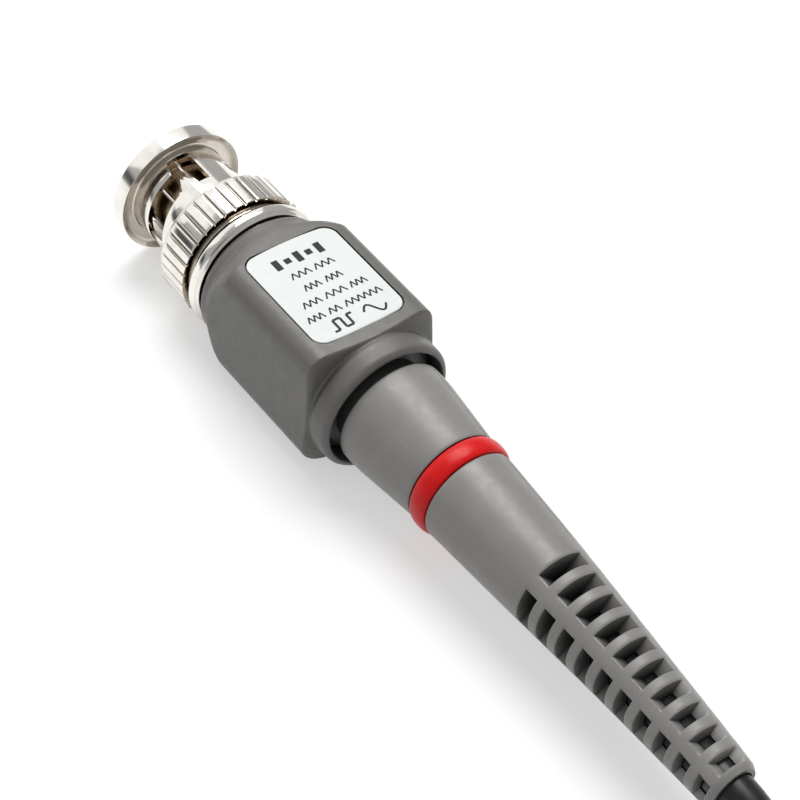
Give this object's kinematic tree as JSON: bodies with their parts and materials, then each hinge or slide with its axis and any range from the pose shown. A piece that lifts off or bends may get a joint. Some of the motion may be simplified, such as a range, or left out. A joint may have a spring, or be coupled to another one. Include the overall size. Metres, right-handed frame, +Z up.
{
  "type": "oscilloscope probe",
  "caption": "Passive oscilloscope probe: bayonet connector on a box with a trimmer, slotted strain relief boot, tied coaxial lead, and a switched probe head with a sprung hook tip.",
  "frame": {"origin": "centre of the compensation box's flat underside, which stands on the surface", "axes": "+X along the connector's axis, from the bayonet nut towards the lead; +Z up, out of the label face; +Y towards the side with the trimmer hole"},
  "size_m": [0.256, 0.0431, 0.0222],
  "materials": {
    "nickel": "bright warm nickel plate, polished",
    "brass": "plain turned brass",
    "gold": "gold plated contact",
    "steel": "spring steel",
    "housing": "grey moulded plastic with a fine matt texture",
    "boot": "grey soft moulded rubber, satin",
    "label": "pale printed label, satin",
    "ring": "glossy red elastomer",
    "jacket": "glossy black PVC",
    "black_plastic": "black moulded plastic",
    "ptfe": "white PTFE",
    "board": "green solder mask",
    "component": "coated ceramic component"
  },
  "bodies": {
    "probe_body": {"bnc_contact_sleeve": "nickel", "bnc_body": "nickel", "bnc_dielectric": "ptfe", "bnc_centre_pin": "gold", "bnc_gasket": "ring", "wave_spring": "steel", "bnc_rear_collar": "nickel", "compensation_housing": "housing", "label_plate": "label", "shield_can": "brass", "circuit_board": "board", "trimmer_body": "component", "termination_resistor": "component", "shunt_capacitor": "component", "pin_wire": "gold", "crimp_ferrule": "brass", "strain_relief_boot": "boot", "channel_ring": "ring", "cable_in_boot": "jacket", "core_wire": "gold", "cable_lead_in": "jacket", "cable_hank": "jacket", "hank_tie": "black_plastic", "cable_lead_out": "jacket", "head_strain_relief": "boot", "head_channel_ring": "ring", "cable_in_head": "jacket", "head_barrel": "housing", "head_board": "board", "switch_base": "black_plastic", "attenuator_resistor": "component", "attenuator_capacitor": "component", "ground_ring": "nickel", "tip_insulator": "black_plastic", "probe_tip": "gold", "hook_carrier": "black_plastic", "hook_wire": "nickel", "hook_spring": "steel"},
    "nut_washer": {"thrust_washer": "steel"},
    "coupling_nut": {"bnc_coupling_nut": "nickel", "nut_retaining_ring": "steel"},
    "trimmer": {"trimmer_screw": "brass"},
    "switch": {"switch_slider": "black_plastic", "switch_wiper": "gold"},
    "tip_sleeve": {"hook_sleeve": "housing"}
  },
  "joints": [
    {"name": "nut_draw", "type": "slide", "parent": "probe_body", "child": "nut_washer", "axis": [-1, 0, 0], "range_m": [0, 0.0005], "stiffness_N_per_m": 5000},
    {"name": "nut_turn", "type": "hinge", "parent": "nut_washer", "child": "coupling_nut", "pos_m": [-0.02, 0, 0.00765], "axis": [1, 0, 0], "continuous": true},
    {"name": "trimmer_turn", "type": "hinge", "parent": "probe_body", "child": "trimmer", "pos_m": [0.0025, 0.0043, 0.00765], "axis": [0, 1, 0], "continuous": true},
    {"name": "switch_slide", "type": "slide", "parent": "probe_body", "child": "switch", "axis": [1, 0, 0], "range_m": [0, 0.0026]},
    {"name": "sleeve_draw", "type": "slide", "parent": "probe_body", "child": "tip_sleeve", "axis": [-1, 0, 0], "range_m": [0, 0.006], "stiffness_N_per_m": 300, "deforming": ["hook_spring"]}
  ]
}
